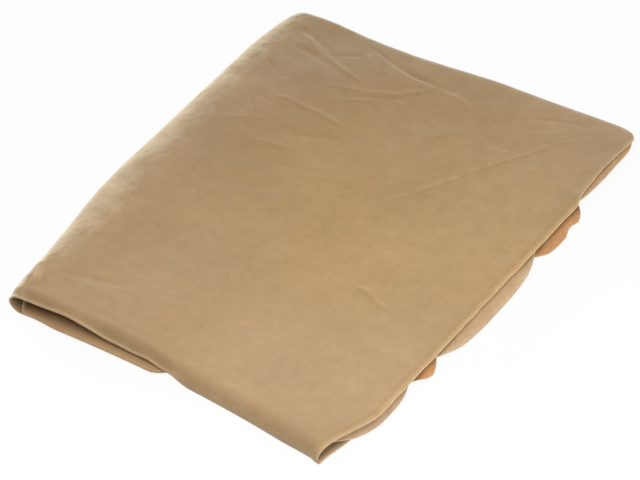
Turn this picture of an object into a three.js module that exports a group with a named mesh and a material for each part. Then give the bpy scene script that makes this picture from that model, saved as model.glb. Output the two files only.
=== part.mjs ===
// A chamois leather folded in quarters: one soft hide, doubled twice, lying on a surface at z = 0.
// Millimetres, +Z up. The left and back sides are folds, the front and right sides are open cut edges.
// The hide is laid out as one grid of points, which is then cut into nine pieces: four quarters, and
// the bends that join them.
import * as THREE from 'three';

// The four layers from below
const [bottom, second, third, top] = [0, 1, 2, 3];

// The leather
const thickness = 1.3;
const layerGap = 0.35;          // least air between two layers that lie on each other
const seamGap = 0.3;            // between neighbouring pieces of the hide

// Plan of the folded hide
const foldedWidth = 253;
const foldedDepth = 330;
const leftTaper = 10;           // how far the left fold leans in towards the front
const leftPull = 12;            // how much further it is drawn in at the front corner
const leftPullLength = 130;
const rightMargin = 3.5;        // from the top layer's right edge to the widest flap below it
const rightTaper = 5;
const cornerDraw = 11.5;        // how far the front right corner is drawn in
const cornerLength = 45;
const backTaper = 10;           // how far the back fold leans in towards the left
const backDip = 4.5;            // shallow hollow in the back fold
const backDipAt = 80;           // its place from the left fold
const backDipReach = 80;
const frontBow = 8;             // hollow of the front edge
const frontBowAt = 118;         // its place from the left fold
const frontBowReach = 112;
const foldCornerDraw = 5.5;     // rounding of the corner where both folds meet
const foldCornerReach = 50;
const backCornerDraw = 4.5;     // rounding of the back right corner
const backCornerReach = 18;

// Heights of the layers above each other
const lowerSideLift = 0.4;      // bottom to second, at the left fold
const lowerBackLift = 1;        // bottom to second, at the back fold
const middleLift = 5.6;         // second to third, at the left fold
const middleCornerLift = 1.6;   // second to third, where both folds meet
const middleAir = 0.95;
const upperSideLift = 1.6;      // third to top, at the left fold
const upperBackLift = 1.6;      // third to top, at the back fold
const upperAir = 0.8;
const upperRightLift = 1.6;     // third to top, at the right edge
const sideLiftReach = 60;
const middleLiftReach = 130;
const backLiftReach = 55;
const rightLiftReach = 60;
const rightCurl = 0.5;          // droop of the top layer's right edge
const rightCurlReach = 10;

// Bends: how far each layer's shoulder lies inside the left fold, and the shape of the bend between two
const bottomBendReach = 7;
const secondBendReach = 3.5;
const thirdBendReach = 9;
const topBendReach = 8;
const innerBendAir = 1.9;       // air between the two left folds, at the back
const innerBendPull = 4;        // how much further the inner one lies inside at the front
const backBendReach = 5;
const bendShape = 1.12;         // 1 is an ellipse, more is flatter with a sharper nose

// Where the top layer's shoulder is wider or narrower, as distances from the front edge
const shoulderBulges = [
  { place: 0, width: 5, reach: 28 },
  { place: 44, width: -4, reach: 26 },
  { place: 92, width: 8, reach: 42 },
  { place: 153, width: 3, reach: 20 },
  { place: 180, width: 7, reach: 18 },
  { place: 215, width: 3.5, reach: 13 },
  { place: 245, width: 2, reach: 18 },
];

// Front edge: an open mouth at the left, and the top layer rolled down to the floor at the right.
// The places along it are distances from the left fold.
const mouthStart = 44;          // the top layer's lip comes down in two steps
const mouthMiddle = 80;
const mouthClosing = 104;
const mouthEnd = 123;
const mouthStep = 0.45;         // share of the first step
const mouthCurl = 4.8;          // droop of the lip over the mouth
const lipLength = 7.5;
const lipSkew = 1.5;            // 1 is an even curve, more is steeper towards the edge
const lipSetBack = 2;
const lipRise = 1.2;            // the lip is highest here
const lipRiseAt = 38;
const lipRiseReach = 24;
const rollLength = 10;
const rollFloor = 0.5;          // height of the rolled edge above the floor
const bottomTuckStart = 98;     // the lower layers stand out of the mouth and end inside the roll
const bottomTuckEnd = 126;
const bottomMouthTuck = -0.8;
const bottomFrontTuck = 8;
const secondTuckStart = 86;
const secondTuckEnd = 118;
const secondMouthTuck = -2.8;
const secondFrontTuck = 10;
const thirdFrontTuck = 13;
const lowerLipDraw = 2;         // how far the lower layers are drawn in at the left fold
const lowerLipStart = 16;
const lowerLipEnd = 36;
const tongueReach = 28;         // the bottom layer shows again under the front right corner
const tongueRise = 1.7;
const tongueTuck = 0.5;

// Right edge: how far the lower layers end inside the top layer's edge, and their flaps beyond that.
// A flap's two ends are measured from the back, and a higher fullness makes its outline squarer. It
// arches up before it droops. One of negative length is a notch.
const bottomRightTuck = 11;
const secondRightTuck = 9;
const thirdRightTuck = 8;
const flapStart = 1.5;          // how far inside the tucked edge a flap starts to rise
const flapPeak = 1.6;
const cornerTongue = { length: 12.6, start: 288, end: 400, arch: 0, droop: 0, fullness: 4 };
const backFlap = { length: 13.8, start: 67, end: 133, arch: 2.6, droop: 1.5, fullness: 4 };
const backNotch = { length: -1.8, start: 84, end: 98, arch: 0, droop: 0, fullness: 2 };
const smallFlap = { length: 12, start: 220, end: 258, arch: 2.4, droop: 1.4, fullness: 1.6 };
const cornerFlap = { length: 6.9, start: -12, end: 86, arch: 0, droop: 1.4, fullness: 4 };
const wideFlap = { length: 13.7, start: 116, end: 236, arch: 1, droop: 3.9, fullness: 4 };
const frontFlap = { length: 8.4, start: 246, end: 322, arch: 1, droop: 3.8, fullness: 4 };
const topNotch = { length: -4.4, start: 6, end: 78, arch: 0, droop: 0, fullness: 3 };

// Steps of the grid
const quarterSteps = 10;        // left to right over a quarter
const edgeSteps = 4;            // of those, over the right edge
const edgeLength = 16;
const depthSteps = 34;          // front to back over a quarter
const rollSteps = 4;            // of those, over the rolled front edge
const sideBendSteps = 6;
const backBendSteps = 4;

// Derived sizes, and what belongs to each layer
const pitch = thickness + layerGap;
const leftX = -foldedWidth / 2 + thickness / 2;
const rightX = foldedWidth / 2;
const frontY = -foldedDepth / 2 + thickness / 2;
const backY = foldedDepth / 2 - thickness / 2;
const bendReach = {
  [bottom]: bottomBendReach,
  [second]: secondBendReach,
  [third]: thirdBendReach,
  [top]: topBendReach,
};
const rightTuck = {
  [bottom]: bottomRightTuck,
  [second]: secondRightTuck,
  [third]: thirdRightTuck,
  [top]: 0,
};
const flaps = {
  [bottom]: [cornerTongue],
  [second]: [backFlap, backNotch, smallFlap],
  [third]: [cornerFlap, wideFlap, frontFlap],
  [top]: [topNotch],
};

// Curves that the shapes are made of
const clamp = (t) => Math.min(Math.max(t, 0), 1);
const mix = (a, b, t) => a + (b - a) * t;
function ease(from, to, t) {
  const s = clamp((t - from) / (to - from));
  return s * s * (3 - 2 * s);
}
const fade = (distance, reach) => 1 - ease(0, reach, distance);
const hump = (t) => clamp(1 - t * t) ** 2;
const sum = (list, value) => list.reduce((total, item) => total + value(item), 0);

// Plan lines of the folded hide
const fromBack = (y) => backY - y;
const fromFront = (y) => y - frontY;

function leftLine(y) {
  const lean = leftTaper * fromBack(y) / foldedDepth;
  return leftX + lean + leftPull * fade(fromFront(y), leftPullLength);
}

function rightLine(y) {
  const lean = rightTaper * fromBack(y) / foldedDepth;
  return rightX - rightMargin - lean - cornerDraw * fade(fromFront(y), cornerLength);
}

function backLine(x) {
  const lean = backTaper * (rightX - x) / foldedWidth;
  return backY - lean - backDip * hump((x - leftX - backDipAt) / backDipReach);
}

function frontLine(x) {
  return frontY + frontBow * (1 - ((x - leftX - frontBowAt) / frontBowReach) ** 2);
}

// How far a flap stands out at y, from 0 at its ends to 1 in the middle
function flapShare(flap, y) {
  const fromMiddle = Math.abs(2 * fromBack(y) - flap.start - flap.end) / (flap.end - flap.start);
  return clamp(1 - fromMiddle ** flap.fullness);
}

function layerRight(layer, y) {
  const beyond = sum(flaps[layer], (flap) => flap.length * flapShare(flap, y));
  return rightLine(y) - rightTuck[layer] + beyond;
}

// From 0 to 1 towards the front right corner
const nearCorner = (x) => fade(rightLine(frontY) - x, tongueReach);

function layerFront(layer, x) {
  const inside = x - leftLine(frontY);
  const pastMouth = ease(bottomTuckStart, bottomTuckEnd, inside);
  const lowerLip = lowerLipDraw * (1 - ease(lowerLipStart, lowerLipEnd, inside));
  if (layer === bottom) {
    const tucked = mix(bottomMouthTuck, bottomFrontTuck, pastMouth);
    return frontLine(x) + lowerLip + mix(tucked, tongueTuck, nearCorner(x));
  }
  if (layer === second) {
    const tucked = ease(secondTuckStart, secondTuckEnd, inside);
    return frontLine(x) + lowerLip + mix(secondMouthTuck, secondFrontTuck, tucked);
  }
  if (layer === third) return frontLine(x) + thirdFrontTuck;
  return frontLine(x) + lipSetBack * (1 - pastMouth);
}

// The middle of a left bend's outermost line
function bendTip(layer, y) {
  if (layer === bottom || layer === top) return leftLine(y);
  return leftLine(y) + pitch + innerBendAir + innerBendPull * fromBack(y) / foldedDepth;
}

// Where a quarter ends and its left bend starts
function bendLine(layer, y) {
  const shoulder = bendTip(layer, y) + bendReach[layer];
  if (layer !== top) return shoulder;
  const front = fromFront(y);
  const bulge = sum(shoulderBulges, ({ place, width, reach }) => width * hump((front - place) / reach));
  return shoulder + bulge;
}

// How far a layer's flaps lift it above its plain height
function flapRise(layer, x, y) {
  return sum(flaps[layer], (flap) => {
    const inside = rightLine(y) - rightTuck[layer] + flap.length - x;
    const out = clamp(1 - inside / (Math.abs(flap.length) + flapStart));
    const arch = flap.arch * Math.sin(Math.PI * out ** flapPeak) ** 2;
    const share = flapShare(flap, y);
    return share ** 3 * arch - share * flap.droop * out ** 2;
  });
}

// Height of the middle of each layer
function layerHeight(layer, x, y) {
  const side = x - bendLine(layer, y);
  const back = backLine(x) - backBendReach - y;
  const nearSide = fade(side, sideLiftReach);
  const nearBack = fade(back, backLiftReach);
  const bottomHeight = thickness / 2;
  if (layer === bottom) return bottomHeight;

  const lowerLift = Math.hypot(lowerSideLift * nearSide, lowerBackLift * nearBack);
  const secondHeight = bottomHeight + pitch + lowerLift;
  if (layer === second) return secondHeight + flapRise(second, x, y);

  const sideLift = mix(middleLift, middleCornerLift, nearBack) * fade(side, middleLiftReach);
  const thirdHeight = secondHeight + pitch + middleAir + sideLift;
  if (layer === third) return thirdHeight + flapRise(third, x, y);

  const right = rightLine(y) - x;
  const nearRight = fade(right, rightLiftReach);
  const upperLift = Math.hypot(
    upperSideLift * nearSide, upperBackLift * nearBack, upperRightLift * nearRight);
  const curl = rightCurl * clamp(1 - right / rightCurlReach) ** 2;
  const topHeight = thirdHeight + pitch + upperAir + upperLift - curl;
  return rolledHeight(topHeight, x, y);
}

// The top layer's front edge comes down in a quarter round, over the mouth only to a drooping lip
function rolledHeight(height, x, y) {
  const inside = x - leftLine(frontY);
  const firstStep = ease(mouthStart, mouthMiddle, inside);
  const closed = mix(ease(mouthClosing, mouthEnd, inside), firstStep, mouthStep);
  const floorHeight = rollFloor + tongueRise * nearCorner(x);
  const rise = lipRise * hump((inside - lipRiseAt) / lipRiseReach);
  const lipHeight = height - mouthCurl * (1 - closed) + rise;
  const edgeHeight = mix(lipHeight, floorHeight, closed);
  const length = mix(lipLength, rollLength, closed);
  const out = clamp(1 - (y - layerFront(top, x)) / length);
  const drop = mix(ease(0, 1, out ** lipSkew), 1 - Math.sqrt(1 - out * out), closed);
  return mix(height, edgeHeight, drop);
}

// A point of a quarter: u from its left bend to its right edge, v from its front edge to its back bend
function quarterPoint(layer, u, v) {
  let x = mix(leftX, rightX, u);
  let y = 0;
  for (let pass = 0; pass < 4; pass += 1) {
    y = mix(layerFront(layer, x), backLine(x) - backBendReach, v);
    x = mix(bendLine(layer, y), layerRight(layer, y), u);
  }
  return new THREE.Vector3(x, y, layerHeight(layer, x, y));
}

// A point of a left bend, from a lower quarter's shoulder round its nose to an upper quarter's
function sideBendPoint(lower, upper, angle, v) {
  const low = quarterPoint(lower, 0, v);
  const high = quarterPoint(upper, 0, v);
  const rise = Math.sign(angle) * Math.abs(Math.sin(angle)) ** bendShape;
  const shoulder = angle < 0 ? low.x : high.x;
  const point = low.lerp(high, (1 + rise) / 2);
  point.x = mix(shoulder, bendTip(lower, point.y), Math.cos(angle) ** bendShape);
  return point;
}

// Across the hide: over a lower quarter from right to left, round the left bend, and over an upper one
function acrossPoint(lower, upper, station, v) {
  if (station.part === 'lower') return quarterPoint(lower, station.u, v);
  if (station.part === 'upper') return quarterPoint(upper, station.u, v);
  return sideBendPoint(lower, upper, station.angle, v);
}

// Along the hide: over an outer layer from front to back, round the back bend, and over an inner one
function hidePoint(across, along) {
  if (along.part === 'outer') return acrossPoint(bottom, top, across, along.v);
  if (along.part === 'inner') return acrossPoint(second, third, across, along.v);
  const outer = acrossPoint(bottom, top, across, 1);
  const inner = acrossPoint(second, third, across, 1);
  const point = outer.clone().lerp(inner, 0.5);
  point.addScaledVector(outer.sub(inner), 0.5 * Math.cos(along.angle));
  point.y += backBendReach * Math.sin(along.angle);
  return point;
}

// The two back corners are rounded in plan
function roundCorners(point) {
  const left = point.x - leftLine(point.y);
  const right = rightLine(point.y) - point.x;
  const back = backLine(point.x) - point.y;
  const share = (side, reach) => (clamp(1 - side / reach) * clamp(1 - back / reach)) ** 2;
  const leftDraw = foldCornerDraw * share(left, foldCornerReach);
  const rightDraw = backCornerDraw * share(right, backCornerReach);
  point.x += leftDraw - rightDraw;
  point.y -= leftDraw + rightDraw;
  return point;
}

// Stations of the grid, closer together towards the open edges and the bends
function quarterStations(part) {
  const stations = [];
  const edgeStart = 1 - edgeLength / foldedWidth;
  const plainSteps = quarterSteps - edgeSteps;
  for (let i = 0; i < plainSteps; i += 1) {
    const t = i / plainSteps;
    stations.push({ part, u: edgeStart * mix(t, ease(0, 1, t), 0.75) });
  }
  for (let i = 0; i <= edgeSteps; i += 1) {
    stations.push({ part, u: mix(edgeStart, 1, i / edgeSteps) });
  }
  return part === 'lower' ? stations.reverse() : stations;
}

function bendStations(steps, from, to) {
  const stations = [];
  for (let i = 1; i < steps; i += 1) {
    stations.push({ part: 'bend', angle: mix(from, to, i / steps) });
  }
  return stations;
}

function depthStations(part) {
  const stations = [];
  const rollShare = rollLength / foldedDepth;
  for (let i = 0; i < rollSteps; i += 1) {
    const angle = (i / rollSteps) * (Math.PI / 2);
    stations.push({ part, v: rollShare * (1 - Math.cos(angle)) });
  }
  const plainSteps = depthSteps - rollSteps;
  for (let i = 0; i <= plainSteps; i += 1) {
    stations.push({ part, v: mix(rollShare, 1, i / plainSteps) });
  }
  return part === 'inner' ? stations.reverse() : stations;
}

// The whole hide as a grid of points with their normals
const acrossStations = [
  ...quarterStations('lower'),
  ...bendStations(sideBendSteps, -Math.PI / 2, Math.PI / 2),
  ...quarterStations('upper'),
];
const alongStations = [
  ...depthStations('outer'),
  ...bendStations(backBendSteps, 0, Math.PI),
  ...depthStations('inner'),
];
const grid = acrossStations.map((across) =>
  alongStations.map((along) => roundCorners(hidePoint(across, along))));

function gridNormal(i, j) {
  const row = grid[i];
  const acrossStart = grid[Math.max(i - 1, 0)][j];
  const acrossEnd = grid[Math.min(i + 1, grid.length - 1)][j];
  const alongStart = row[Math.max(j - 1, 0)];
  const alongEnd = row[Math.min(j + 1, row.length - 1)];
  const across = acrossEnd.clone().sub(acrossStart);
  const along = alongEnd.clone().sub(alongStart);
  return along.cross(across).normalize();
}
const normals = grid.map((row, i) => row.map((point, j) => gridNormal(i, j)));

// One piece of the hide: a block of the grid, drawn in by half a seam gap at its cuts, made solid
function pieceGeometry(acrossRange, alongRange) {
  const [i0, i1] = acrossRange;
  const [j0, j1] = alongRange;
  const lastRow = grid.length - 1;
  const lastColumn = grid[0].length - 1;
  const columns = j1 - j0 + 1;
  const positions = [];
  const indices = [];

  function drawnIn(i, j) {
    const point = grid[i][j].clone();
    const towards = (a, b) => {
      const step = grid[a][b].clone().sub(grid[i][j]).normalize();
      point.addScaledVector(step, seamGap / 2);
    };
    if (i === i0 && i0 > 0) towards(i + 1, j);
    if (i === i1 && i1 < lastRow) towards(i - 1, j);
    if (j === j0 && j0 > 0) towards(i, j + 1);
    if (j === j1 && j1 < lastColumn) towards(i, j - 1);
    return point;
  }

  for (const side of [0.5, -0.5]) {
    for (let i = i0; i <= i1; i += 1) {
      for (let j = j0; j <= j1; j += 1) {
        const point = drawnIn(i, j).addScaledVector(normals[i][j], side * thickness);
        positions.push(point.x, point.y, point.z);
      }
    }
  }

  const layerSize = (i1 - i0 + 1) * columns;
  const upper = (i, j) => (i - i0) * columns + (j - j0);
  const lower = (i, j) => layerSize + upper(i, j);
  const quad = (a, b, c, d) => indices.push(a, b, c, a, c, d);
  for (let i = i0; i < i1; i += 1) {
    for (let j = j0; j < j1; j += 1) {
      quad(upper(i, j), upper(i, j + 1), upper(i + 1, j + 1), upper(i + 1, j));
      quad(lower(i, j), lower(i + 1, j), lower(i + 1, j + 1), lower(i, j + 1));
    }
  }
  // Facing rims are split along the same diagonals, so that their gap stays even
  for (let i = i0; i < i1; i += 1) {
    quad(upper(i, j0), upper(i + 1, j0), lower(i + 1, j0), lower(i, j0));
    quad(upper(i, j1), lower(i, j1), lower(i + 1, j1), upper(i + 1, j1));
  }
  for (let j = j0; j < j1; j += 1) {
    quad(upper(i0, j + 1), upper(i0, j), lower(i0, j), lower(i0, j + 1));
    quad(upper(i1, j + 1), lower(i1, j + 1), lower(i1, j), upper(i1, j));
  }

  const geometry = new THREE.BufferGeometry();
  geometry.setAttribute('position', new THREE.Float32BufferAttribute(positions, 3));
  geometry.setIndex(indices);
  geometry.computeVertexNormals();
  return geometry;
}

// The nine pieces
const lowerRows = [0, quarterSteps];
const bendRows = [quarterSteps, quarterSteps + sideBendSteps];
const upperRows = [bendRows[1], bendRows[1] + quarterSteps];
const outerColumns = [0, depthSteps];
const bendColumns = [depthSteps, depthSteps + backBendSteps];
const innerColumns = [bendColumns[1], bendColumns[1] + depthSteps];

const suede = { tan: 0xc0a075, beige: 0xc3a57d, ochre: 0xbe8a58 };
const pieces = [
  ['bottom_quarter', lowerRows, outerColumns, suede.beige],
  ['second_quarter', lowerRows, innerColumns, suede.ochre],
  ['third_quarter', upperRows, innerColumns, suede.beige],
  ['top_quarter', upperRows, outerColumns, suede.tan],
  ['outer_left_fold', bendRows, outerColumns, suede.tan],
  ['inner_left_fold', bendRows, innerColumns, suede.beige],
  ['lower_back_fold', lowerRows, bendColumns, suede.beige],
  ['upper_back_fold', upperRows, bendColumns, suede.tan],
  ['corner_fold', bendRows, bendColumns, suede.tan],
];

const chamois = new THREE.Group();
for (const [name, acrossRange, alongRange, color] of pieces) {
  const material = new THREE.MeshStandardMaterial({ color, roughness: 0.95, metalness: 0 });
  const piece = new THREE.Mesh(pieceGeometry(acrossRange, alongRange), material);
  piece.name = name;
  chamois.add(piece);
}

export default chamois;
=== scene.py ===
import math
from collections import namedtuple

import bpy
import numpy as np
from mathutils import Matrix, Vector


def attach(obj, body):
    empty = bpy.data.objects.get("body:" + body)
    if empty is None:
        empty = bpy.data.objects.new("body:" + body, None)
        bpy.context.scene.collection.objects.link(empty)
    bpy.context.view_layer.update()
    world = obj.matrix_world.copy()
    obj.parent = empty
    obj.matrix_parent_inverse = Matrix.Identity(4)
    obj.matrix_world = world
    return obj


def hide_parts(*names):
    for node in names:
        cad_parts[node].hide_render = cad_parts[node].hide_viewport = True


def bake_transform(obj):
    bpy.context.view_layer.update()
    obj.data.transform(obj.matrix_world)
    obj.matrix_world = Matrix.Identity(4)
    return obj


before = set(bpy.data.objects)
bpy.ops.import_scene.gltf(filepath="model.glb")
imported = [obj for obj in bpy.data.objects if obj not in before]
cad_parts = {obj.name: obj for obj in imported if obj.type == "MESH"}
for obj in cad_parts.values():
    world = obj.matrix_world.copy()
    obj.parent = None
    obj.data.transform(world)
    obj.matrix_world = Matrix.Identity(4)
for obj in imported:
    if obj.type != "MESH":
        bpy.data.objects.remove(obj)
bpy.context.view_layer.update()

# A chamois leather folded in quarters. The hide is one fine grid of points, on the same lines as the
# solids of the frame, with the creases and puckers of the leather added. Lengths are in metres.
MM = 0.001

# The four layers from below
BOTTOM, SECOND, THIRD, TOP = range(4)

# The leather
THICKNESS = 1.3 * MM
LAYER_GAP = 0.35 * MM

# Plan of the folded hide
FOLDED_WIDTH = 253 * MM
FOLDED_DEPTH = 330 * MM
LEFT_TAPER = 10 * MM
LEFT_PULL = 12 * MM
LEFT_PULL_LENGTH = 130 * MM
RIGHT_MARGIN = 3.5 * MM
RIGHT_TAPER = 5 * MM
CORNER_DRAW = 11.5 * MM
CORNER_LENGTH = 45 * MM
BACK_TAPER = 10 * MM
BACK_DIP = 4.5 * MM
BACK_DIP_AT = 80 * MM
BACK_DIP_REACH = 80 * MM
FRONT_BOW = 8 * MM
FRONT_BOW_AT = 118 * MM
FRONT_BOW_REACH = 112 * MM
FOLD_CORNER_DRAW = 5.5 * MM
FOLD_CORNER_REACH = 50 * MM
BACK_CORNER_DRAW = 4.5 * MM
BACK_CORNER_REACH = 18 * MM

# Heights of the layers above each other
LOWER_SIDE_LIFT = 0.4 * MM
LOWER_BACK_LIFT = 1 * MM
MIDDLE_LIFT = 5.6 * MM
MIDDLE_CORNER_LIFT = 1.6 * MM
MIDDLE_AIR = 0.95 * MM
UPPER_SIDE_LIFT = 1.6 * MM
UPPER_BACK_LIFT = 1.6 * MM
UPPER_AIR = 0.8 * MM
UPPER_RIGHT_LIFT = 1.6 * MM
SIDE_LIFT_REACH = 60 * MM
MIDDLE_LIFT_REACH = 130 * MM
BACK_LIFT_REACH = 55 * MM
RIGHT_LIFT_REACH = 60 * MM
RIGHT_CURL = 1.0 * MM
RIGHT_CURL_REACH = 4.5 * MM

# Bends
BEND_REACH = {BOTTOM: 7 * MM, SECOND: 3.5 * MM, THIRD: 9 * MM, TOP: 10.5 * MM}
INNER_BEND_AIR = 1.9 * MM
INNER_BEND_PULL = 4 * MM
BACK_BEND_REACH = 5 * MM
BEND_SHAPE = 1.12

# Where the top layer's shoulder on the left fold lies further in or out: distance from the front,
# width and reach
Bulge = namedtuple("Bulge", "place width reach")
SHOULDER_BULGES = (
    Bulge(22 * MM, -5.5 * MM, 34 * MM),
    Bulge(92 * MM, 8 * MM, 46 * MM),
    Bulge(160 * MM, 7 * MM, 32 * MM),
    Bulge(195 * MM, 6 * MM, 19 * MM),
    Bulge(225 * MM, 4 * MM, 24 * MM),
    Bulge(262 * MM, 2 * MM, 24 * MM),
)
SHOULDER_RAGGED = 0.35 * MM
SHOULDER_RAGGED_LENGTH = 8 * MM

# Front edge. At its left is an open mouth under the top layer's lip, and past the mouth the top layer
# rolls down to the surface. The lip comes down in two steps, with MOUTH_STEP as the first one's share, to
# MOUTH_FLOOR above the rolled edge. Places along the edge are measured from the left fold.
MOUTH_START = 44 * MM
MOUTH_MIDDLE = 80 * MM
MOUTH_CLOSING = 104 * MM
MOUTH_END = 123 * MM
MOUTH_STEP = 0.85
MOUTH_FLOOR = 3.4 * MM
MOUTH_CURL = 3.6 * MM
LIP_RISE = 1.2 * MM
LIP_RISE_AT = 38 * MM
LIP_RISE_REACH = 24 * MM
LIP_SET_BACK = 2 * MM
LIP_LENGTH = 6.5 * MM
LIP_SKEW = 1.5
LIP_FLARE = 0.72
LIP_WAVE = 0.6 * MM
LIP_WAVE_LENGTH = 20 * MM
LIP_WAVE_START = 12 * MM
LIP_WAVE_FULL = 26 * MM
FRONT_DROOP = 0.6 * MM
FRONT_DROOP_REACH = 15 * MM
ROLL_LENGTH = 10 * MM
ROLL_FULLNESS = 2.6
ROLL_FLOOR = 0.5 * MM

# How far the lower layers end behind the front line, in the mouth and past it, and where that changes
BOTTOM_MOUTH_TUCK = -0.8 * MM
BOTTOM_FRONT_TUCK = 8 * MM
BOTTOM_TUCK_START = 90 * MM
BOTTOM_TUCK_END = 114 * MM
SECOND_MOUTH_TUCK = -2.8 * MM
SECOND_FRONT_TUCK = 10 * MM
SECOND_TUCK_START = 96 * MM
SECOND_TUCK_END = 118 * MM
THIRD_FRONT_TUCK = 13 * MM
LOWER_LIP_DRAW = 2 * MM
LOWER_LIP_START = 16 * MM
LOWER_LIP_END = 36 * MM

# The second layer rises inside the mouth: how far, where along the edge, and where behind it
SECOND_MOUTH_RISE = 2.2 * MM
SECOND_RISE_AT = 52 * MM
SECOND_RISE_REACH = 50 * MM
SECOND_RISE_START = 2 * MM
SECOND_RISE_FULL = 14 * MM
SECOND_RISE_FADE = 50 * MM

# The bottom layer shows as a tongue at the front right corner, under the raised roll
TONGUE_REACH = 28 * MM
TONGUE_RISE = 1.7 * MM
TONGUE_TUCK = 0.5 * MM

# Steps of the grid, which is finest over the top quarter
LOWER_STEPS = 70
UPPER_STEPS = 190
EDGE_STEPS = 14
EDGE_LENGTH = 14 * MM
OUTER_STEPS = 240
INNER_STEPS = 130
ROLL_STEPS = 12
SIDE_BEND_STEPS = 28
BACK_BEND_STEPS = 16
RIM_ANGLES = (45, 0, -45)
SETTLING_ROUNDS = 4

# Derived sizes
PITCH = THICKNESS + LAYER_GAP
LEFT_X = -FOLDED_WIDTH / 2 + THICKNESS / 2
RIGHT_X = FOLDED_WIDTH / 2
FRONT_Y = -FOLDED_DEPTH / 2 + THICKNESS / 2
BACK_Y = FOLDED_DEPTH / 2 - THICKNESS / 2

# Right edge: how far each layer ends inside the top layer's edge, and its flaps beyond that. A flap's
# two ends are measured from the back, a higher fullness makes its outline squarer, and it arches up
# before it droops to the surface. One of negative length is a notch.
RIGHT_TUCK = {BOTTOM: 11 * MM, SECOND: 9 * MM, THIRD: 8 * MM, TOP: 0}
FLAP_START = 1.5 * MM
FLAP_PEAK = 1.6
RIGHT_RAGGED = 0.15 * MM
RIGHT_RAGGED_LENGTH = 18 * MM
Flap = namedtuple("Flap", "length start end arch droop fullness")


def flap(fullness, *millimetres):
    return Flap(*(size * MM for size in millimetres), fullness)


FLAPS = {
    BOTTOM: (flap(4, 12.6, 288, 400, 0, 0),),
    SECOND: (
        flap(4, 13.8, 67, 133, 2.6, 1.5),
        flap(2, -1.8, 84, 98, 0, 0),
        flap(1.6, 12, 220, 258, 2.4, 1.4),
    ),
    THIRD: (
        flap(4, 7.2, -12, 86, 1.5, -0.8),
        flap(4, 13.7, 114, 240, 2.6, 3.9),
        flap(4, 8.4, 246, 322, 1.0, 3.8),
    ),
    TOP: (flap(3, -3.8, 6, 78, 0, 0),),
}


# Curves that the shapes are made of
def mix(a, b, t):
    return a + (b - a) * t


def ease(start, end, t):
    s = np.clip((t - start) / (end - start), 0, 1)
    return s * s * (3 - 2 * s)


def fade(distance, reach):
    return 1 - ease(0, reach, distance)


def hump(t):
    return np.clip(1 - t * t, 0, 1) ** 2


def stretch(start, end, softness, t):
    rise = ease(start - softness, start + softness, t)
    return rise * (1 - ease(end - softness, end + softness, t))


def undulation(x, y, length, seed, waves=14):
    """A smooth field of about that wavelength, with values around -1 to 1, fixed by its seed."""
    random = np.random.default_rng(seed)
    total = np.zeros(np.broadcast(x, y).shape)
    for _ in range(waves):
        angle, phase = random.uniform(0, 2 * math.pi, 2)
        wave = length * random.uniform(0.7, 1.6)
        total += np.sin(2 * math.pi * (x * math.cos(angle) + y * math.sin(angle)) / wave + phase)
    return total / math.sqrt(waves)


# Creases of the top layer, in millimetres: plan points, height (or depth, where negative) and width
Crease = namedtuple("Crease", "points height width")
CREASES = (
    Crease(((-104, 132), (-92, 128), (-77, 120), (-61, 115), (-49, 112), (-40, 112)), 1.19, 1.5),
    Crease(((-110, 137), (-95, 132), (-85, 128), (-76, 125)), -0.89, 1.6),
    Crease(((-98, 118), (-87, 117), (-73, 113)), -0.73, 2.1),
    Crease(((-60, 145), (-53, 143), (-37, 138), (-23, 135), (-9, 135), (8, 135)), -1.19, 1.6),
    Crease(((-2, 132), (14, 131), (28, 126), (42, 114)), 0.89, 1.8),
    Crease(((14, 133), (28, 128), (38, 117), (50, 108), (64, 109), (72, 114)), -0.34, 1.5),
    Crease(((-71, 93), (-53, 100), (-35, 107), (-20, 116), (-10, 125), (-1, 133)), 0.42, 1.7),
    Crease(((-45, 96), (-39, 99), (-28, 107), (-17, 112), (-3, 114)), -0.42, 1.1),
    Crease(((-49, 89), (-31, 100), (-15, 109)), 0.25, 1.3),
    Crease(((-87, 65), (-73, 70), (-62, 70), (-48, 71), (-37, 70), (-31, 70)), 0.65, 1.5),
    Crease(((-90, 63), (-85, 62), (-71, 61), (-60, 62)), -0.42, 1.6),
    Crease(((-103, 95), (-92, 90), (-81, 84)), -0.89, 1.3),
    Crease(((-75, 121), (-71, 124), (-60, 131), (-56, 134)), -0.3, 1.1),
    Crease(((-56, 137), (-53, 135), (-42, 128), (-38, 125)), 0.73, 1.2),
    Crease(((-102, 64), (-97, 61), (-87, 54), (-78, 46)), 0.46, 1.2),
    Crease(((-95, 32), (-89, 36), (-74, 46), (-68, 50)), 0.25, 1.3),
    Crease(((-72, 25), (-66, 27), (-51, 32), (-45, 34)), 0.35, 1.8),
    Crease(((-54, 43), (-48, 46), (-30, 56), (-24, 59)), -0.25, 1.8),
    Crease(((-79, -56), (-66, -71), (-52, -83), (-36, -98), (-19, -112)), -0.35, 1.9),
    Crease(((-90, -2), (-85, -8), (-69, -25), (-64, -30)), 0.21, 1.2),
    Crease(((-12, -55), (-10, -47), (-10, -29), (-6, -13), (-2, -4)), -0.1, 1.6),
    Crease(((-93, -136), (-78, -129), (-58, -122), (-48, -119)), -0.46, 2.3),
    Crease(((96, 144), (80, 120), (61, 89), (45, 58), (28, 30), (14, 10)), 0.23, 1.4),
    Crease(((56, 136), (62, 139), (75, 146), (88, 149), (96, 151)), -0.25, 1.9),
    Crease(((52, 112), (60, 119), (71, 130), (82, 138), (90, 143)), 0.1, 1.6),
    Crease(((52, -42), (55, -44), (61, -45), (70, -49), (76, -51), (84, -52)), 0.89, 1),
    Crease(((-104, -125), (-102, -130), (-99, -138), (-96, -145), (-93, -151)), 1.03, 1.1),
)
PATH_STEPS = 10
CREASE_RISE_END = 0.3
CREASE_FALL_START = 0.65

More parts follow.
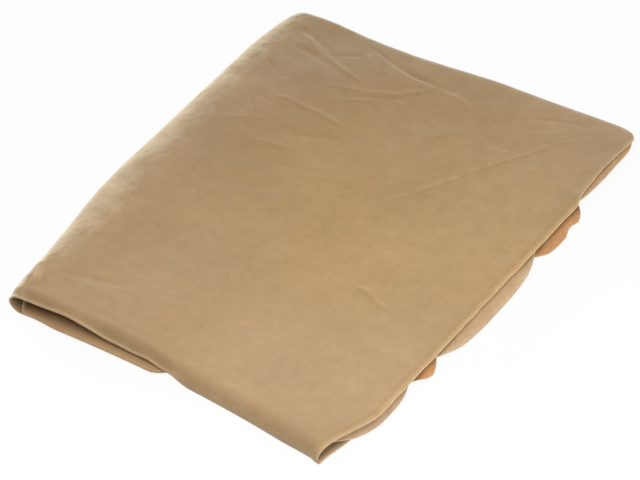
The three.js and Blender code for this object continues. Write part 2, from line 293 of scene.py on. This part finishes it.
# Undulations of the top layer, from broad to fine
Waves = namedtuple("Waves", "height length seed count")
TOP_WAVES = (
    Waves(0.36 * MM, 70 * MM, 3, 14),
    Waves(0.1 * MM, 24 * MM, 8, 14),
    Waves(0.02 * MM, 9 * MM, 13, 30),
)


def smooth_path(points):
    """A smooth curve through the points."""
    p = np.array(points, float) * MM
    ends = np.concatenate([[2 * p[0] - p[1]], p, [2 * p[-1] - p[-2]]])
    t = np.linspace(0, 1, PATH_STEPS, endpoint=False)[:, None]
    pieces = []
    for a, b, c, d in zip(ends, ends[1:], ends[2:], ends[3:]):
        bend = (2 * a - 5 * b + 4 * c - d) * t ** 2 + (3 * b - a - 3 * c + d) * t ** 3
        pieces.append((2 * b + (c - a) * t + bend) / 2)
    return np.concatenate(pieces + [p[-1:]])


def crease_relief(x, y, crease):
    path = smooth_path(crease.points)
    nearest = np.full(x.shape, np.inf)
    along = np.zeros(x.shape)
    for k in range(len(path) - 1):
        step = path[k + 1] - path[k]
        share = ((x - path[k, 0]) * step[0] + (y - path[k, 1]) * step[1]) / (step @ step)
        share = np.clip(share, 0, 1)
        distance = np.hypot(x - path[k, 0] - share * step[0], y - path[k, 1] - share * step[1])
        closer = distance < nearest
        nearest = np.where(closer, distance, nearest)
        along = np.where(closer, (k + share) / (len(path) - 1), along)
    strength = ease(0, CREASE_RISE_END, along) * (1 - ease(CREASE_FALL_START, 1, along))
    return crease.height * MM * strength * np.exp(-(nearest / (crease.width * MM)) ** 2)


def top_relief(x, y):
    relief = sum(w.height * undulation(x, y, w.length, w.seed, w.count) for w in TOP_WAVES)
    return relief + sum(crease_relief(x, y, crease) for crease in CREASES)


# Plan lines of the folded hide
def from_back(y):
    return BACK_Y - y


def from_front(y):
    return y - FRONT_Y


def left_line(y):
    lean = LEFT_TAPER * from_back(y) / FOLDED_DEPTH
    return LEFT_X + lean + LEFT_PULL * fade(from_front(y), LEFT_PULL_LENGTH)


def right_line(y):
    lean = RIGHT_TAPER * from_back(y) / FOLDED_DEPTH
    return RIGHT_X - RIGHT_MARGIN - lean - CORNER_DRAW * fade(from_front(y), CORNER_LENGTH)


def back_line(x):
    lean = BACK_TAPER * (RIGHT_X - x) / FOLDED_WIDTH
    return BACK_Y - lean - BACK_DIP * hump((x - LEFT_X - BACK_DIP_AT) / BACK_DIP_REACH)


def front_line(x):
    return FRONT_Y + FRONT_BOW * (1 - ((x - LEFT_X - FRONT_BOW_AT) / FRONT_BOW_REACH) ** 2)


def flap_share(flap, y):
    from_middle = np.abs(2 * from_back(y) - flap.start - flap.end) / (flap.end - flap.start)
    return np.clip(1 - from_middle ** flap.fullness, 0, 1)


def layer_right(layer, y):
    ragged = RIGHT_RAGGED * undulation(y, 0, RIGHT_RAGGED_LENGTH, seed=40 + layer)
    flaps = sum(flap.length * flap_share(flap, y) for flap in FLAPS[layer])
    return right_line(y) - RIGHT_TUCK[layer] + flaps + ragged


def near_corner(x):
    """From 0 to 1 towards the front right corner."""
    return fade(right_line(FRONT_Y) - x, TONGUE_REACH)


def layer_front(layer, x):
    inside = x - left_line(FRONT_Y)
    past_mouth = ease(BOTTOM_TUCK_START, BOTTOM_TUCK_END, inside)
    lower_lip = LOWER_LIP_DRAW * (1 - ease(LOWER_LIP_START, LOWER_LIP_END, inside))
    if layer == BOTTOM:
        tucked = mix(BOTTOM_MOUTH_TUCK, BOTTOM_FRONT_TUCK, past_mouth)
        return front_line(x) + lower_lip + mix(tucked, TONGUE_TUCK, near_corner(x))
    if layer == SECOND:
        tucked = ease(SECOND_TUCK_START, SECOND_TUCK_END, inside)
        return front_line(x) + lower_lip + mix(SECOND_MOUTH_TUCK, SECOND_FRONT_TUCK, tucked)
    if layer == THIRD:
        return front_line(x) + THIRD_FRONT_TUCK
    return front_line(x) + LIP_SET_BACK * (1 - past_mouth)


def bend_tip(layer, y):
    """The middle of a left bend's outermost line."""
    if layer in (BOTTOM, TOP):
        return left_line(y)
    return left_line(y) + PITCH + INNER_BEND_AIR + INNER_BEND_PULL * from_back(y) / FOLDED_DEPTH


def bend_line(layer, y):
    """Where a quarter ends and its left bend starts."""
    reach = BEND_REACH[layer]
    if layer == TOP:
        for bulge in SHOULDER_BULGES:
            reach = reach + bulge.width * hump((from_front(y) - bulge.place) / bulge.reach)
        reach = reach + SHOULDER_RAGGED * undulation(y, 0, SHOULDER_RAGGED_LENGTH, seed=17)
    return bend_tip(layer, y) + reach


# Height of the middle of each layer
def flap_rise(layer, x, y):
    rise = np.zeros(x.shape)
    for flap in FLAPS[layer]:
        inside = right_line(y) - RIGHT_TUCK[layer] + flap.length - x
        out = np.clip(1 - inside / (abs(flap.length) + FLAP_START), 0, 1)
        arch = flap.arch * np.sin(np.pi * out ** FLAP_PEAK) ** 2
        share = flap_share(flap, y)
        rise += share ** 3 * arch - share * flap.droop * out ** 2
    return rise


def mouth_rise(x, y):
    """The second layer rises a little behind its edge inside the mouth."""
    inside = x - left_line(FRONT_Y)
    behind = y - layer_front(SECOND, x)
    rise = ease(SECOND_RISE_START, SECOND_RISE_FULL, behind)
    rise = rise * fade(behind - SECOND_RISE_FULL, SECOND_RISE_FADE)
    return SECOND_MOUTH_RISE * rise * hump((inside - SECOND_RISE_AT) / SECOND_RISE_REACH)


def layer_height(layer, x, y):
    side = x - bend_line(layer, y)
    back = back_line(x) - BACK_BEND_REACH - y
    near_side = fade(side, SIDE_LIFT_REACH)
    near_back = fade(back, BACK_LIFT_REACH)
    if layer == BOTTOM:
        return np.full(x.shape, THICKNESS / 2)

    lower_lift = np.hypot(LOWER_SIDE_LIFT * near_side, LOWER_BACK_LIFT * near_back)
    second_height = THICKNESS / 2 + PITCH + lower_lift
    if layer == SECOND:
        return second_height + flap_rise(SECOND, x, y) + mouth_rise(x, y)

    side_lift = mix(MIDDLE_LIFT, MIDDLE_CORNER_LIFT, near_back) * fade(side, MIDDLE_LIFT_REACH)
    third_height = second_height + PITCH + MIDDLE_AIR + side_lift
    if layer == THIRD:
        return third_height + flap_rise(THIRD, x, y)

    right = right_line(y) - x
    near_right = fade(right, RIGHT_LIFT_REACH)
    upper_lift = np.sqrt(
        (UPPER_SIDE_LIFT * near_side) ** 2
        + (UPPER_BACK_LIFT * near_back) ** 2
        + (UPPER_RIGHT_LIFT * near_right) ** 2
    )
    curl = RIGHT_CURL * np.clip(1 - right / RIGHT_CURL_REACH, 0, 1) ** 2
    top_height = third_height + PITCH + UPPER_AIR + upper_lift - curl + top_relief(x, y)
    return rolled_height(top_height, x, y)


def rolled_height(height, x, y):
    """The top layer's front edge comes down in a round, and over the mouth in a lip that flares out."""
    inside = x - left_line(FRONT_Y)
    past_mouth = ease(MOUTH_CLOSING, MOUTH_END, inside)
    closed = mix(past_mouth, ease(MOUTH_START, MOUTH_MIDDLE, inside), MOUTH_STEP)
    floor_height = ROLL_FLOOR + MOUTH_FLOOR * (1 - past_mouth) + TONGUE_RISE * near_corner(x)
    lip_rise = LIP_RISE * hump((inside - LIP_RISE_AT) / LIP_RISE_REACH)
    lip_height = height - MOUTH_CURL * (1 - closed) + lip_rise
    wave = LIP_WAVE * undulation(x, 0, LIP_WAVE_LENGTH, seed=61)
    wave *= ease(LIP_WAVE_START, LIP_WAVE_FULL, inside) * (1 - past_mouth)
    edge_height = mix(lip_height, floor_height, closed) + wave
    length = mix(LIP_LENGTH, ROLL_LENGTH, past_mouth)
    front = y - layer_front(TOP, x)
    out = np.clip(1 - front / length, 0, 1)
    roll = 1 - (1 - out ** ROLL_FULLNESS) ** (1 / ROLL_FULLNESS)
    drop = mix(ease(0, LIP_FLARE, out ** LIP_SKEW), roll, past_mouth)
    droop = FRONT_DROOP * np.clip(1 - front / FRONT_DROOP_REACH, 0, 1) ** 2
    return mix(height - droop, edge_height, drop)


# Points of the hide
def quarter_points(layer, u, v):
    """u from its left bend to its right edge, v from its front edge to its back bend.

    The edges are curved, so x depends on y and y on x. A few rounds settle both.
    """
    u, v = np.broadcast_arrays(u, v)
    x = mix(LEFT_X, RIGHT_X, u)
    for _ in range(SETTLING_ROUNDS):
        y = mix(layer_front(layer, x), back_line(x) - BACK_BEND_REACH, v)
        x = mix(bend_line(layer, y), layer_right(layer, y), u)
    return np.stack([x, y, layer_height(layer, x, y)], axis=-1)


def side_bend_points(lower, upper, angle, v):
    """Round the left bend from a lower quarter to an upper one, with a shoulder on each."""
    low = quarter_points(lower, np.zeros((1, 1)), v)
    high = quarter_points(upper, np.zeros((1, 1)), v)
    rise = np.sign(angle) * np.abs(np.sin(angle)) ** BEND_SHAPE
    points = (low + high) / 2 + (high - low) / 2 * rise[..., None]
    start = np.where(angle < 0, low[..., 0], high[..., 0])
    tip = bend_tip(lower, points[..., 1])
    points[..., 0] = mix(start, tip, np.cos(angle) ** BEND_SHAPE)
    return points


def width_stations(steps):
    """Left to right over a quarter, closer together at the right edge."""
    edge_start = 1 - EDGE_LENGTH / FOLDED_WIDTH
    plain = np.linspace(0, edge_start, steps - EDGE_STEPS, endpoint=False)
    return np.concatenate([plain, np.linspace(edge_start, 1, EDGE_STEPS + 1)])[:, None]


def depth_stations(steps):
    """Front to back over a quarter, closer together on the roll of the front edge."""
    roll_share = ROLL_LENGTH / FOLDED_DEPTH
    roll = roll_share * (1 - np.cos(np.linspace(0, math.pi / 2, ROLL_STEPS, endpoint=False)))
    return np.concatenate([roll, np.linspace(roll_share, 1, steps - ROLL_STEPS + 1)])[None, :]


def across_points(lower, upper, v):
    """Over a lower quarter from right to left, round the left bend, and over an upper quarter."""
    angle = np.linspace(-math.pi / 2, math.pi / 2, SIDE_BEND_STEPS + 1)[1:-1, None]
    return np.concatenate([
        quarter_points(lower, width_stations(LOWER_STEPS)[::-1], v),
        side_bend_points(lower, upper, angle, v),
        quarter_points(upper, width_stations(UPPER_STEPS), v),
    ])


def hide_points():
    """Along the hide: over the outer layers, round the back bend, and over the inner layers."""
    outer = across_points(BOTTOM, TOP, depth_stations(OUTER_STEPS))
    inner = across_points(SECOND, THIRD, depth_stations(INNER_STEPS)[:, ::-1])
    angle = np.linspace(0, math.pi, BACK_BEND_STEPS + 1)[None, 1:-1, None]
    outer_end = outer[:, -1:]
    inner_end = inner[:, :1]
    bend = (outer_end + inner_end) / 2 + (outer_end - inner_end) / 2 * np.cos(angle)
    bend[..., 1] += BACK_BEND_REACH * np.sin(angle[..., 0])
    return round_corners(np.concatenate([outer, bend, inner], axis=1))


def round_corners(points):
    x, y = points[..., 0], points[..., 1]
    back = back_line(x) - y

    def share(side, reach):
        return (np.clip(1 - side / reach, 0, 1) * np.clip(1 - back / reach, 0, 1)) ** 2

    left_draw = FOLD_CORNER_DRAW * share(x - left_line(y), FOLD_CORNER_REACH)
    right_draw = BACK_CORNER_DRAW * share(right_line(y) - x, BACK_CORNER_REACH)
    points[..., 0] = x + left_draw - right_draw
    points[..., 1] = y - left_draw - right_draw
    return points


def steps_along(points, axis):
    """The difference between each point's two neighbours on the grid."""
    ahead = np.concatenate([np.take(points, range(1, points.shape[axis]), axis),
                            np.take(points, [-1], axis)], axis)
    behind = np.concatenate([np.take(points, [0], axis),
                             np.take(points, range(points.shape[axis] - 1), axis)], axis)
    return ahead - behind


def unit(vectors):
    length = np.linalg.norm(vectors, axis=-1, keepdims=True)
    return vectors / np.maximum(length, 1e-12)


def grid_normals(points):
    return unit(np.cross(steps_along(points, 1), steps_along(points, 0)))


def flat_lengths(points, axis):
    """How far along the flat hide each grid line is, from the mean distance between the lines."""
    gaps = np.linalg.norm(np.diff(points, axis=axis), axis=-1).mean(axis=1 - axis)
    return np.concatenate([[0], np.cumsum(gaps)])


hide = hide_points()
rows, columns = hide.shape[:2]
flat_across = flat_lengths(hide, 0)
flat_along = flat_lengths(hide, 1)

# Small puckers on the shoulder of the left fold
PUCKER_DEPTH = 0.09 * MM
PUCKER_LENGTH = 5 * MM
PUCKERS_START = 5 * MM
PUCKERS_END = 21 * MM
PUCKERS_SOFTNESS = 5 * MM
OUTSIDE_FADE = 6 * MM
fold_middle = flat_across[LOWER_STEPS + SIDE_BEND_STEPS // 2]
past_middle = (flat_across - fold_middle)[:, None]
on_shoulder = stretch(PUCKERS_START, PUCKERS_END, PUCKERS_SOFTNESS, past_middle)
on_outside = fade(flat_along - flat_along[OUTER_STEPS], OUTSIDE_FADE)[None, :]
puckers = undulation(past_middle, flat_along[None, :], PUCKER_LENGTH, seed=21, waves=30)
hide -= grid_normals(hide) * (PUCKER_DEPTH * puckers * on_shoulder * on_outside)[..., None]
normals = grid_normals(hide)

# The fibres are paler at the cut edges, and along the shoulder of the left fold a painted highlight lies
# in patches, for the light from the left catching the nap
EDGE_REACH = 2.8 * MM
HIGHLIGHT_PATCH_LENGTH = 14 * MM
HIGHLIGHT_PATCH_SHARE = 0.6
HIGHLIGHT_PATCH_CONTRAST = 0.5
HIGHLIGHT_START = 1 * MM
HIGHLIGHT_END = 19 * MM
HIGHLIGHT_SOFTNESS = 4 * MM
across_edge = np.minimum(flat_across, flat_across[-1] - flat_across)[:, None]
along_edge = np.minimum(flat_along, flat_along[-1] - flat_along)[None, :]
patches = undulation(past_middle, flat_along[None, :], HIGHLIGHT_PATCH_LENGTH, seed=31)
patches = np.clip(HIGHLIGHT_PATCH_SHARE + HIGHLIGHT_PATCH_CONTRAST * patches, 0, 1)
# Painted highlight on the shoulder of the left fold, in patches
painted_highlight = patches * stretch(HIGHLIGHT_START, HIGHLIGHT_END, HIGHLIGHT_SOFTNESS, past_middle) * on_outside
edge_fibres_and_highlight = np.maximum(fade(np.minimum(across_edge, along_edge), EDGE_REACH), painted_highlight)

# Painted shade: the inner lower quarter is a warmer orange towards its right edge, and the inner upper
# one at the back, for the bounce light in the shade between the layers
SHADE_WARMTH_REACH = 90 * MM
LEAST_LOWER_SHADE_WARMTH = 0.3
UPPER_SHADE_WARMTH = 0.5
lower_share = 1 - ease(LOWER_STEPS, LOWER_STEPS + SIDE_BEND_STEPS, np.arange(rows))
lower_shade_warmth = mix(LEAST_LOWER_SHADE_WARMTH, 1, fade(flat_across, SHADE_WARMTH_REACH))[:, None]
inner_start = OUTER_STEPS + BACK_BEND_STEPS
upper_shade_warmth = UPPER_SHADE_WARMTH * fade(flat_along - flat_along[inner_start], SHADE_WARMTH_REACH)[None, :]
column_share = ease(OUTER_STEPS, inner_start, np.arange(columns))[None, :]
painted_shade_warmth = mix(upper_shade_warmth, lower_shade_warmth, lower_share[:, None]) * column_share

# Painted light: the inner upper quarter is paler along its right edge, where its flaps are lit directly
LIT_PALE_REACH = 26 * MM
past_shade_warmth = ease(0, SHADE_WARMTH_REACH, flat_along - flat_along[inner_start])[None, :]
painted_light_paleness = fade(flat_across[-1] - flat_across, LIT_PALE_REACH)[:, None] * past_shade_warmth * column_share

# A little greyer towards the outside of the folded hide
GREY_CENTRE = (38 * MM, 30 * MM)
GREY_START = 50 * MM
GREY_END = 150 * MM
from_centre = np.hypot(hide[..., 0] - GREY_CENTRE[0], hide[..., 1] - GREY_CENTRE[1])
greyness = ease(GREY_START, GREY_END, from_centre)
SHADES = {"edge": edge_fibres_and_highlight, "painted_shade": painted_shade_warmth, "grey": greyness, "lit_pale": painted_light_paleness}


def leather_piece(name, first, last):
    """Rows of the hide as a closed sheet, with rounded cut edges and flat ends where pieces meet."""
    points = hide[first:last + 1]
    up = normals[first:last + 1]
    count = last - first + 1

    # Once round the border, and the way out of the sheet there
    border_rows = np.concatenate([
        np.arange(count),
        np.full(columns - 1, count - 1),
        np.arange(count - 2, -1, -1),
        np.zeros(columns - 2, int),
    ])
    border_columns = np.concatenate([
        np.zeros(count, int),
        np.arange(1, columns),
        np.full(count - 1, columns - 1),
        np.arange(columns - 2, 0, -1),
    ])
    out = np.zeros_like(points)
    out[:, 0] += unit(points[:, 0] - points[:, 1])
    out[:, -1] += unit(points[:, -1] - points[:, -2])
    if first == 0:
        out[0] += unit(points[0] - points[1])
    if last == rows - 1:
        out[-1] += unit(points[-1] - points[-2])
    border = points[border_rows, border_columns]
    border_up = up[border_rows, border_columns]
    border_out = out[border_rows, border_columns]
    border_out = unit(border_out - border_up * (border_out * border_up).sum(-1, keepdims=True))

    half = THICKNESS / 2
    vertices = [(points + up * half).reshape(-1, 3), (points - up * half).reshape(-1, 3)]
    shading = [up.reshape(-1, 3), -up.reshape(-1, 3)]
    for degrees in RIM_ANGLES:
        sine, cosine = math.sin(math.radians(degrees)), math.cos(math.radians(degrees))
        vertices.append(border + (border_up * sine + border_out * cosine) * half)
        shading.append(unit(border_up * sine + border_out * cosine))

    # Faces: the two sides, then the strips of the rim
    index = np.arange(count * columns).reshape(count, columns)
    side = np.stack([index[:-1, :-1], index[:-1, 1:], index[1:, 1:], index[1:, :-1]], -1)
    side = side.reshape(-1, 4)
    faces = [side, side[:, ::-1] + count * columns]
    around = len(border)
    levels = [index[border_rows, border_columns]]
    levels += [2 * count * columns + k * around + np.arange(around) for k in range(len(RIM_ANGLES))]
    levels += [index[border_rows, border_columns] + count * columns]
    for above, below in zip(levels, levels[1:]):
        faces.append(np.stack([above, np.roll(above, -1), np.roll(below, -1), below], -1))

    mesh = bpy.data.meshes.new(name)
    all_faces = np.concatenate(faces)
    all_vertices = np.concatenate(vertices)
    mesh.vertices.add(len(all_vertices))
    mesh.vertices.foreach_set("co", all_vertices.astype(np.float32).ravel())
    mesh.loops.add(all_faces.size)
    mesh.loops.foreach_set("vertex_index", all_faces.astype(np.int32).ravel())
    mesh.polygons.add(len(all_faces))
    mesh.polygons.foreach_set("loop_start", np.arange(0, all_faces.size, 4, dtype=np.int32))
    mesh.update(calc_edges=True)
    mesh.polygons.foreach_set("use_smooth", np.ones(len(all_faces), bool))

    # Flat coordinates of the hide, and its shades
    def per_vertex(values):
        both_sides = [values.ravel()] * 2
        return np.concatenate(both_sides + [values[border_rows, border_columns]] * len(RIM_ANGLES))

    across = np.broadcast_to(flat_across[first:last + 1, None], (count, columns))
    along = np.broadcast_to(flat_along, (count, columns))
    corners = all_faces.ravel()
    uv = mesh.uv_layers.new(name="flat")
    flat_places = np.stack([per_vertex(across), per_vertex(along)], -1)[corners]
    uv.data.foreach_set("uv", flat_places.ravel())
    for shade, values in SHADES.items():
        attribute = mesh.attributes.new(shade, "FLOAT", "POINT")
        attribute.data.foreach_set("value", per_vertex(values[first:last + 1]).astype(np.float32))
    mesh.normals_split_custom_set_from_vertices(np.concatenate(shading).tolist())

    piece = bpy.data.objects.new(name, mesh)
    bpy.context.scene.collection.objects.link(piece)
    return piece


# Suede
def suede_material():
    material = bpy.data.materials.new("chamois_leather")
    material.use_nodes = True
    nodes, links = material.node_tree.nodes, material.node_tree.links
    shader = nodes["Principled BSDF"]
    shader.inputs["Roughness"].default_value = 0.95
    shader.inputs["Specular IOR Level"].default_value = 0.05
    shader.inputs["Subsurface Weight"].default_value = 0.4
    shader.inputs["Subsurface Radius"].default_value = (1.0, 0.5, 0.25)
    shader.inputs["Subsurface Scale"].default_value = 1.5 * MM
    shader.inputs["Sheen Weight"].default_value = 0.4
    shader.inputs["Sheen Roughness"].default_value = 0.4
    shader.inputs["Sheen Tint"].default_value = (1.0, 0.96, 0.9, 1)
    flat = nodes.new("ShaderNodeUVMap")
    flat.uv_map = "flat"

    def noise(size, detail, roughness=0.5):
        texture = nodes.new("ShaderNodeTexNoise")
        texture.inputs["Scale"].default_value = 1 / size
        texture.inputs["Detail"].default_value = detail
        texture.inputs["Roughness"].default_value = roughness
        links.new(flat.outputs["UV"], texture.inputs["Vector"])
        return texture.outputs["Fac"]

    def ramp(value, low, high, low_colour, high_colour):
        node = nodes.new("ShaderNodeValToRGB")
        node.color_ramp.elements[0].position = low
        node.color_ramp.elements[0].color = (*low_colour, 1)
        node.color_ramp.elements[1].position = high
        node.color_ramp.elements[1].color = (*high_colour, 1)
        links.new(value, node.inputs["Fac"])
        return node.outputs["Color"]

    def blended(mode, share, below, above):
        node = nodes.new("ShaderNodeMix")
        node.data_type = "RGBA"
        node.blend_type = mode
        if isinstance(share, float):
            node.inputs["Factor"].default_value = share
        else:
            links.new(share, node.inputs["Factor"])
        links.new(below, node.inputs["A"])
        links.new(above, node.inputs["B"])
        return node.outputs["Result"]

    def attribute(name):
        node = nodes.new("ShaderNodeAttribute")
        node.attribute_name = name
        return node.outputs["Fac"]

    patches = noise(70 * MM, 3)
    warm_tan = ramp(patches, 0.35, 0.65, (0.403, 0.263, 0.12), (0.437, 0.28, 0.126))
    grey_tan = ramp(patches, 0.35, 0.65, (0.395, 0.27, 0.145), (0.429, 0.289, 0.153))
    tan = blended("MIX", attribute("grey"), warm_tan, grey_tan)
    mottle = ramp(noise(9 * MM, 6, 0.65), 0.3, 0.7, (0.93, 0.93, 0.93), (1.05, 1.05, 1.05))
    flecks = ramp(noise(7 * MM, 3, 0.6), 0.58, 0.72, (1, 1, 1), (0.94, 0.93, 0.92))
    nap = ramp(noise(0.9 * MM, 3, 0.7), 0.3, 0.7, (0.92, 0.91, 0.90), (1.07, 1.07, 1.07))
    # Painted shade: the saturated orange of bounce light in the shade of the inner layers
    painted_shade_ochre = ramp(noise(40 * MM, 3), 0.3, 0.7, (0.38, 0.196, 0.084), (0.43, 0.223, 0.097))
    # Painted light: the paler, less saturated beige of the directly lit flaps at the inner upper
    # quarter's right edge
    lit_pale = ramp(noise(20 * MM, 3), 0.3, 0.7, (0.388, 0.266, 0.152), (0.42, 0.289, 0.169))
    colour = blended("MIX", attribute("painted_shade"), tan, painted_shade_ochre)
    colour = blended("MIX", attribute("lit_pale"), colour, lit_pale)
    colour = blended("MULTIPLY", 1.0, colour, mottle)
    colour = blended("MULTIPLY", 1.0, colour, flecks)
    colour = blended("MULTIPLY", 1.0, colour, nap)
    # Paler, bluer fibres at the cut edges, and the painted highlight on the left fold's shoulder
    pale_fibre_and_highlight = ramp(noise(0.7 * MM, 2), 0.3, 0.7, (1.08, 1.14, 1.24), (1.24, 1.32, 1.46))
    colour = blended("MULTIPLY", attribute("edge"), colour, pale_fibre_and_highlight)
    links.new(colour, shader.inputs["Base Color"])

    normal = None
    for size, detail, depth in ((0.8 * MM, 4, 0.12 * MM), (5 * MM, 3, 0.25 * MM)):
        bump = nodes.new("ShaderNodeBump")
        bump.inputs["Strength"].default_value = 0.8
        bump.inputs["Distance"].default_value = depth
        links.new(noise(size, detail, 0.6), bump.inputs["Height"])
        if normal is not None:
            links.new(normal, bump.inputs["Normal"])
        normal = bump.outputs["Normal"]
    links.new(normal, shader.inputs["Normal"])
    return material


suede = suede_material()
last_row = rows - 1
bend_start = LOWER_STEPS
bend_end = LOWER_STEPS + SIDE_BEND_STEPS
lower = leather_piece("lower_half_leather", 0, bend_start)
fold = leather_piece("left_fold_leather", bend_start, bend_end)
upper = leather_piece("upper_half_leather", bend_end, last_row)
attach(lower, "lower_half")
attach(upper, "upper_half")
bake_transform(fold)
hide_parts("bottom_quarter", "second_quarter", "lower_back_fold")
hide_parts("third_quarter", "top_quarter", "upper_back_fold")
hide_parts("outer_left_fold", "inner_left_fold", "corner_fold")

pieces = (
    (lower, 0, bend_start, "floor"),
    (fold, bend_start, bend_end, "floor"),
    (upper, bend_end, last_row, "lower_half_leather"),
)
for piece, first, last, support in pieces:
    piece.data.materials.append(suede)


# Floor, white to the camera, with the leather's shadow
def camera_white(nodes, links, lit_shader, output, share):
    path = nodes.new("ShaderNodeLightPath")
    seen = path.outputs["Is Camera Ray"]
    for ray in ("Is Glossy Ray", "Is Transmission Ray"):
        either = nodes.new("ShaderNodeMath")
        either.operation = "MAXIMUM"
        links.new(seen, either.inputs[0])
        links.new(path.outputs[ray], either.inputs[1])
        seen = either.outputs["Value"]
    part = nodes.new("ShaderNodeMath")
    part.operation = "MULTIPLY"
    part.inputs[1].default_value = share
    links.new(seen, part.inputs[0])
    on_material = output.type == "OUTPUT_MATERIAL"
    white = nodes.new("ShaderNodeEmission" if on_material else "ShaderNodeBackground")
    white.inputs["Color"].default_value = (1, 1, 1, 1)
    white.inputs["Strength"].default_value = 1
    both = nodes.new("ShaderNodeMixShader")
    links.new(part.outputs["Value"], both.inputs["Fac"])
    links.new(lit_shader.outputs[0], both.inputs[1])
    links.new(white.outputs[0], both.inputs[2])
    links.new(both.outputs["Shader"], output.inputs["Surface"])


bpy.ops.mesh.primitive_plane_add(size=8, location=(0, 0, 0))
floor = bpy.context.object
floor.name = "floor"
floor_material = bpy.data.materials.new("floor")
floor_material.use_nodes = True
floor_nodes = floor_material.node_tree.nodes
floor_shader = floor_nodes["Principled BSDF"]
floor_shader.inputs["Base Color"].default_value = (0.85, 0.85, 0.85, 1)
floor_shader.inputs["Roughness"].default_value = 0.9
camera_white(floor_nodes, floor_material.node_tree.links, floor_shader,
             floor_nodes["Material Output"], 0.93)
floor.data.materials.append(floor_material)

# Light
world = bpy.context.scene.world or bpy.data.worlds.new("world")
bpy.context.scene.world = world
world.use_nodes = True
world_nodes = world.node_tree.nodes
sky = world_nodes["Background"]
sky.inputs["Color"].default_value = (1, 1, 1, 1)
sky.inputs["Strength"].default_value = 0.265
camera_white(world_nodes, world.node_tree.links, sky, world_nodes["World Output"], 1.0)


def area_light(name, place, target, size, power, colour):
    light = bpy.data.lights.new(name, "AREA")
    light.size = size
    light.energy = power
    light.color = colour
    lamp = bpy.data.objects.new(name, light)
    lamp.location = place
    lamp.rotation_euler = (Vector(target) - Vector(place)).to_track_quat("-Z", "Y").to_euler()
    bpy.context.scene.collection.objects.link(lamp)


area_light("top_light", (0.11, -0.23, 0.42), (0.06, -0.15, 0), 0.35, 1.56, (1.0, 0.97, 0.955))
area_light("right_light", (0.9, 0.1, 0.24), (0, 0, 0), 0.35, 5.9, (1.0, 0.97, 0.95))
area_light("left_light", (-2.75, 0.9, 0.28), (0, 0, 0), 0.9, 190, (0.74, 0.87, 1.0))

# Camera at the photograph's angle
CAMERA_TARGET = Vector((8.8 * MM, -15.0 * MM, 0))
CAMERA_DISTANCE = 1.508
CAMERA_AZIMUTH = math.radians(33.7)
CAMERA_ELEVATION = math.radians(41.3)
SENSOR_WIDTH = 36
FOCAL_PIXELS = 2600
IMAGE_WIDTH = 640
camera_data = bpy.data.cameras.new("camera")
camera_data.sensor_width = SENSOR_WIDTH
camera_data.lens = SENSOR_WIDTH * FOCAL_PIXELS / IMAGE_WIDTH
camera = bpy.data.objects.new("camera", camera_data)
towards_camera = Vector((
    math.sin(CAMERA_AZIMUTH) * math.cos(CAMERA_ELEVATION),
    -math.cos(CAMERA_AZIMUTH) * math.cos(CAMERA_ELEVATION),
    math.sin(CAMERA_ELEVATION),
))
camera.location = CAMERA_TARGET + CAMERA_DISTANCE * towards_camera
camera.rotation_euler = (-towards_camera).to_track_quat("-Z", "Y").to_euler()
bpy.context.scene.collection.objects.link(camera)
bpy.context.scene.camera = camera
bpy.context.scene.view_settings.view_transform = "Standard"

bpy.context.view_layer.update()
